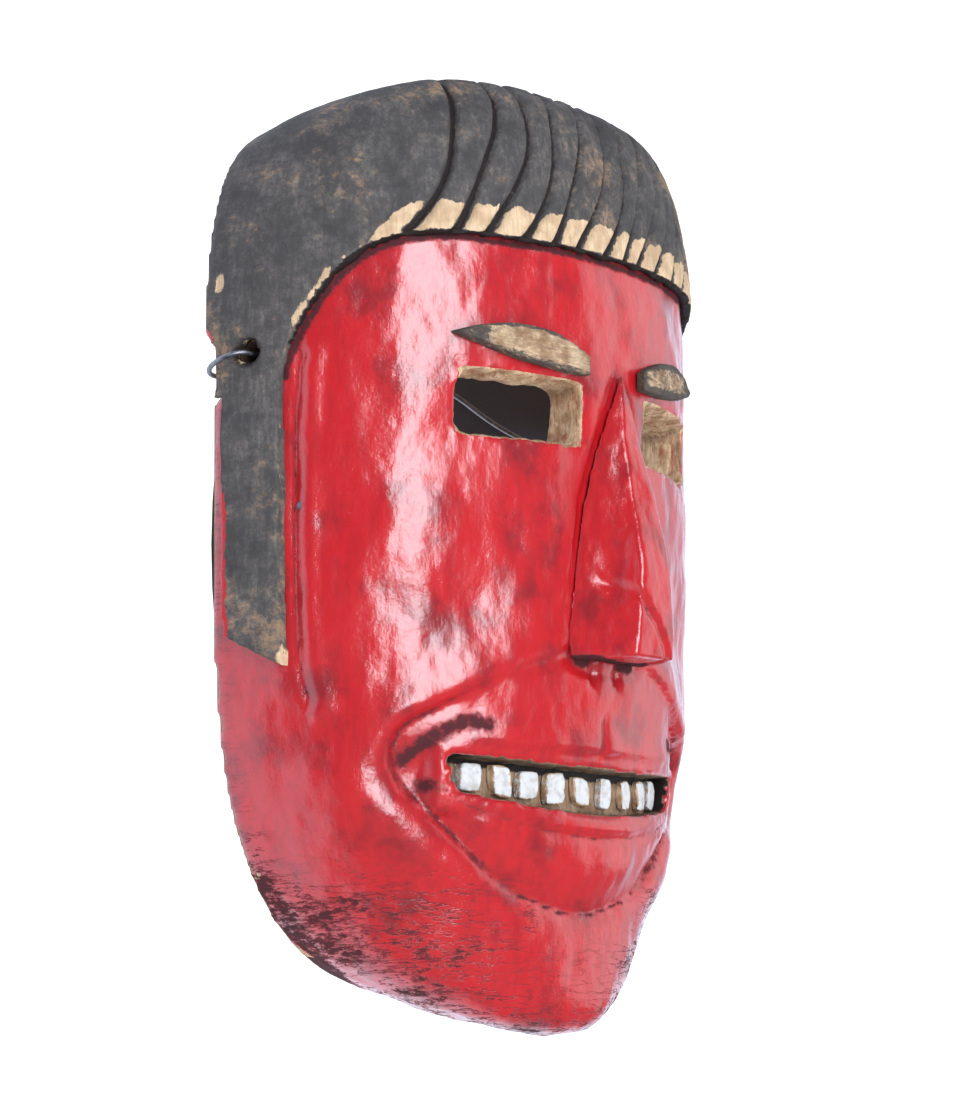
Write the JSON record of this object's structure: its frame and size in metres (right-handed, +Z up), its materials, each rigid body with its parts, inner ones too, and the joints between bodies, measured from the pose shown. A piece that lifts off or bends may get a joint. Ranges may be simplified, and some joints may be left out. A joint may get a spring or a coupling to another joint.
{
  "type": "carved wooden dance mask",
  "caption": "Hollow carved and painted wooden face mask with raised hair, wedge nose, open eyes, toothed grin and a steel hanging wire.",
  "frame": {"origin": "middle of the flat back rim, on the rim plane", "axes": "+Z up towards the crown, -Y the way the face looks, +X towards the wearer's left side of the mask"},
  "size_m": [0.1788, 0.08, 0.248],
  "materials": {
    "red_lacquer": "thick glossy red enamel over wood, worn dark in places",
    "hair_paint": "matte worn black paint, grey with dust, bare wood at edges",
    "brow_wood": "bare tan wood with remains of black paint",
    "bare_wood": "bare carved wood",
    "tooth_paint": "chipped white paint",
    "steel": "dull grey steel wire"
  },
  "bodies": {
    "mask": {"face_shell": "red_lacquer", "hair_cap": "hair_paint", "sideburn_left": "hair_paint", "sideburn_right": "hair_paint", "brow_left": "brow_wood", "brow_right": "brow_wood", "nose": "red_lacquer", "gum_strip": "bare_wood", "cheek_nail": "steel", "tooth_01": "tooth_paint", "tooth_02": "tooth_paint", "tooth_03": "tooth_paint", "tooth_04": "tooth_paint", "tooth_05": "tooth_paint", "tooth_06": "tooth_paint", "tooth_07": "tooth_paint", "tooth_08": "tooth_paint", "tooth_09": "tooth_paint"},
    "wire": {"hanging_wire": "steel"}
  },
  "joints": [
    {"name": "wire_swing", "type": "hinge", "parent": "mask", "child": "wire", "pos_m": [0, -0.014, 0.047], "axis": [1, 0, 0], "range_deg": [-10, 30]}
  ]
}
